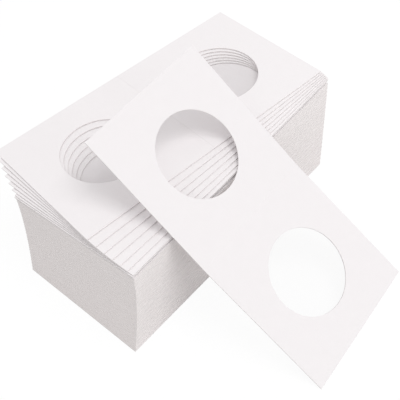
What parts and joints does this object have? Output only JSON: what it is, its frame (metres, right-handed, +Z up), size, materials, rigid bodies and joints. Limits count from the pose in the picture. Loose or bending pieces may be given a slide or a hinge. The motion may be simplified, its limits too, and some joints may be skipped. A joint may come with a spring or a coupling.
{
  "type": "coin holder flip",
  "caption": "Pack of flat white card coin flips with round film windows, the top ones fanned out and one leaning open on the front edge.",
  "frame": {"origin": "point on the floor under the middle of the pack's highest squared flip; it lies on the underside of the lowest flip", "axes": "+Z up; +X along the length of the pack's flips, to the right seen from the front; -Y towards the front, where the single flip leans"},
  "size_m": [0.1144, 0.1213, 0.0618],
  "materials": {
    "card": "smooth uncoated white, matt",
    "film": "clear thin film, glossy"
  },
  "bodies": {
    "pack": {"pack_cards_1": "card", "pack_cards_2": "card", "pack_cards_3": "card", "pack_cards_4": "card", "pack_cards_5": "card", "pack_cards_6": "card", "pack_cards_7": "card", "pack_cards_8": "card", "pack_films_1": "film", "pack_films_2": "film", "pack_films_3": "film", "pack_films_4": "film", "pack_films_5": "film", "pack_films_6": "film", "pack_films_7": "film", "pack_films_8": "film"},
    "fan_flip_1": {"fan_card_1": "card", "fan_film_1": "film"},
    "fan_flip_2": {"fan_card_2": "card", "fan_film_2": "film"},
    "fan_flip_3": {"fan_card_3": "card", "fan_film_3": "film"},
    "fan_flip_4": {"fan_card_4": "card", "fan_film_4": "film"},
    "fan_flip_5": {"fan_card_5": "card", "fan_film_5": "film"},
    "fan_flip_6": {"fan_card_6": "card", "fan_film_6": "film"},
    "leaning_lower_panel": {"leaning_lower_card": "card", "leaning_lower_film": "film"},
    "leaning_upper_panel": {"leaning_upper_card": "card", "leaning_upper_film": "film"}
  },
  "joints": [
    {"name": "fan_swivel_1", "type": "hinge", "parent": "pack", "child": "fan_flip_1", "pos_m": [0.0665, -0.016, 0.03689], "axis": [0, 0, -1], "range_deg": [0, 2]},
    {"name": "fan_swivel_2", "type": "hinge", "parent": "fan_flip_1", "child": "fan_flip_2", "pos_m": [0.0665, -0.016, 0.03739], "axis": [0, 0, -1], "range_deg": [0, 2]},
    {"name": "fan_swivel_3", "type": "hinge", "parent": "fan_flip_2", "child": "fan_flip_3", "pos_m": [0.0665, -0.016, 0.03789], "axis": [0, 0, -1], "range_deg": [0, 2]},
    {"name": "fan_swivel_4", "type": "hinge", "parent": "fan_flip_3", "child": "fan_flip_4", "pos_m": [0.0665, -0.016, 0.03839], "axis": [0, 0, -1], "range_deg": [0, 2]},
    {"name": "fan_swivel_5", "type": "hinge", "parent": "fan_flip_4", "child": "fan_flip_5", "pos_m": [0.0665, -0.016, 0.03889], "axis": [0, 0, -1], "range_deg": [0, 2]},
    {"name": "fan_swivel_6", "type": "hinge", "parent": "fan_flip_5", "child": "fan_flip_6", "pos_m": [0.0665, -0.016, 0.03939], "axis": [0, 0, -1], "range_deg": [0, 2]},
    {"name": "flip_tilt", "type": "hinge", "parent": "pack", "child": "leaning_lower_panel", "pos_m": [-0.007, -0.0775, 0], "axis": [0.999, 0.0436, 0], "range_deg": [0, 54.77]},
    {"name": "flip_fold", "type": "hinge", "parent": "leaning_lower_panel", "child": "leaning_upper_panel", "pos_m": [-0.0088, -0.03635, 0.02974], "axis": [0.999, 0.0436, 0], "range_deg": [0, 176]}
  ]
}
